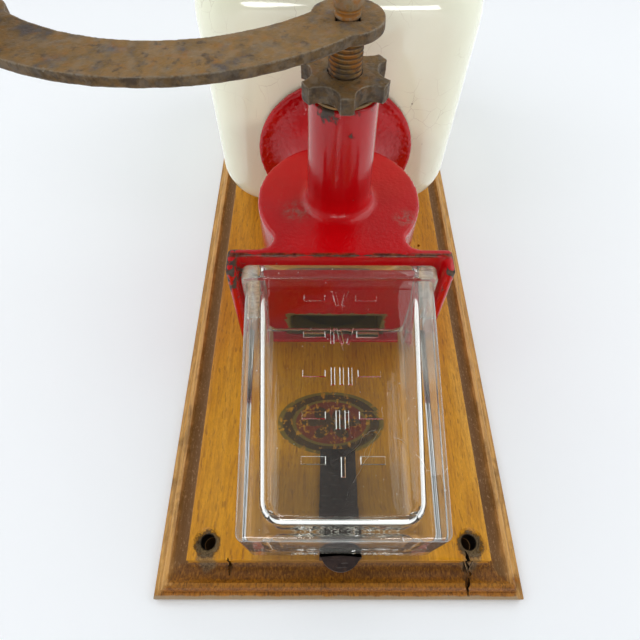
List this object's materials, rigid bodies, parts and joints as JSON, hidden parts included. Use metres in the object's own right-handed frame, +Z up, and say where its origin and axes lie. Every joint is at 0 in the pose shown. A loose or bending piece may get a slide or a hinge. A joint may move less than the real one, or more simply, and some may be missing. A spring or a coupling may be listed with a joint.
{
  "type": "wall mounted coffee mill",
  "caption": "Hand cranked wall coffee mill: ceramic bean jar over a cast burr grinder, with a glass measuring cup held under its hood on a moulded wooden board.",
  "frame": {"origin": "centre of the board's flat back face, which lies on the wall", "axes": "+Z up the wall, +Y into the wall, +X to the right as seen by someone facing the mill"},
  "size_m": [0.1945, 0.1835, 0.38],
  "materials": {
    "beech": "varnished beech with a darker stained moulding, worn at the edges",
    "red_enamel": "thick glossy red paint on cast iron, chipped at the edges",
    "bare_steel": "plain turned steel, dulled",
    "burr_steel": "hardened cast iron with cut teeth",
    "spring_steel": "drawn spring wire",
    "rusty_iron": "dark iron with brown surface rust and worn grey edges",
    "stained_wood": "turned and varnished hardwood",
    "cream_glaze": "cream glazed earthenware with fine crazing, not see-through",
    "felt": "pressed felt",
    "clear_glass": "thick pressed clear glass with raised graduations and scratches",
    "black_steel": "blackened spring steel, worn"
  },
  "bodies": {
    "board": {"backboard": "beech", "back_plate": "red_enamel", "grinder_housing": "red_enamel", "housing_screws": "bare_steel", "ring_burr": "burr_steel", "burr_dowels": "bare_steel", "reservoir": "cream_glaze", "throat_gasket": "felt", "reservoir_screws": "bare_steel", "reservoir_washers": "felt", "catch_screw": "black_steel"},
    "crank": {"spindle": "rusty_iron", "cone_burr": "burr_steel", "burr_nut": "bare_steel", "burr_spring": "spring_steel", "crank_arm": "rusty_iron", "crank_nut": "rusty_iron", "knob_pin": "rusty_iron", "knob_washer": "rusty_iron"},
    "knob": {"knob": "stained_wood"},
    "washer": {"adjusting_washer": "rusty_iron"},
    "star_nut": {"adjusting_nut": "rusty_iron"},
    "lid": {"reservoir_lid": "cream_glaze"},
    "cup": {"measuring_cup": "clear_glass"},
    "catch": {"cup_catch": "black_steel"}
  },
  "joints": [
    {"name": "crank_spin", "type": "hinge", "parent": "board", "child": "crank", "pos_m": [0, 0, -0.05], "axis": [0, -1, 0], "continuous": true},
    {"name": "knob_spin", "type": "hinge", "parent": "crank", "child": "knob", "pos_m": [-0.11, 0, -0.05], "axis": [0, -1, 0], "continuous": true},
    {"name": "washer_feed", "type": "slide", "parent": "crank", "child": "washer", "axis": [0, -1, 0], "range_m": [0, 0.0015]},
    {"name": "nut_turn", "type": "hinge", "parent": "washer", "child": "star_nut", "pos_m": [0, 0, -0.05], "axis": [0, -1, 0], "range_deg": [0, 360]},
    {"name": "lid_lift", "type": "slide", "parent": "board", "child": "lid", "axis": [0, 0, 1], "range_m": [0, 0.06]},
    {"name": "cup_pull", "type": "slide", "parent": "board", "child": "cup", "axis": [0, -1, 0], "range_m": [0, 0.06]},
    {"name": "catch_press", "type": "hinge", "parent": "board", "child": "catch", "pos_m": [0, -0.0119, -0.1415], "axis": [1, 0, 0], "range_deg": [0, 2.3], "stiffness_Nm_per_rad": 1}
  ],
  "couplings": [
    {"joint": "washer_feed", "follows": "nut_turn", "m_per_rad": 0.00023873}
  ]
}
